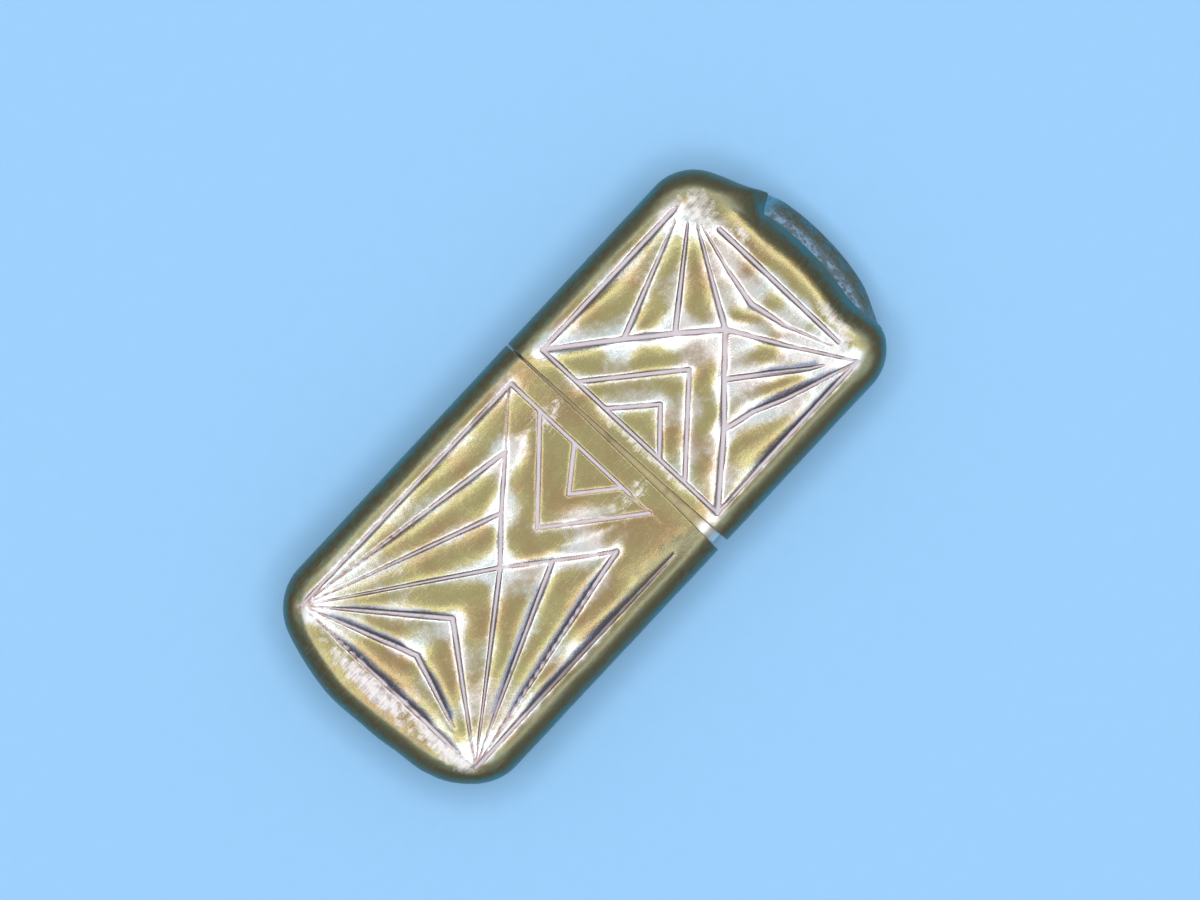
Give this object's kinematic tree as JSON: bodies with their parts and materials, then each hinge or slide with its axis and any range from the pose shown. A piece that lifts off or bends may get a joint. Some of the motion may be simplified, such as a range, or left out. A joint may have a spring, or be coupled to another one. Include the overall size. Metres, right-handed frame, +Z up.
{
  "type": "needle case",
  "caption": "Flat pocket needle case in thin brass, with a pull-off cap on an inner sleeve and geometric line relief on its faces.",
  "frame": {"origin": "under the middle of the closed case, on the surface it lies on", "axes": "+X along the case towards the cap's end, +Y across it, +Z up out of the front face; the back lies on z = 0"},
  "size_m": [0.06, 0.026, 0.008],
  "materials": {
    "patinated_brass": "polished brass with an olive-brown patina, rubbed bright and pinkish in the lines and on the worn edges",
    "tarnished_brass": "tarnished brass, mottled brown and blue-green, with old solder along its edges",
    "sleeve_brass": "pale bare brass, scratched along the way the cap slides"
  },
  "bodies": {
    "body": {"body_front_shell": "patinated_brass", "body_back_shell": "patinated_brass", "body_end_plate": "tarnished_brass", "inner_sleeve": "sleeve_brass"},
    "cap": {"cap_front_shell": "patinated_brass", "cap_back_shell": "patinated_brass", "cap_end_plate": "tarnished_brass"}
  },
  "joints": [
    {"name": "cap_slide", "type": "slide", "parent": "body", "child": "cap", "axis": [1, 0, 0], "range_m": [0, 0.022]}
  ]
}
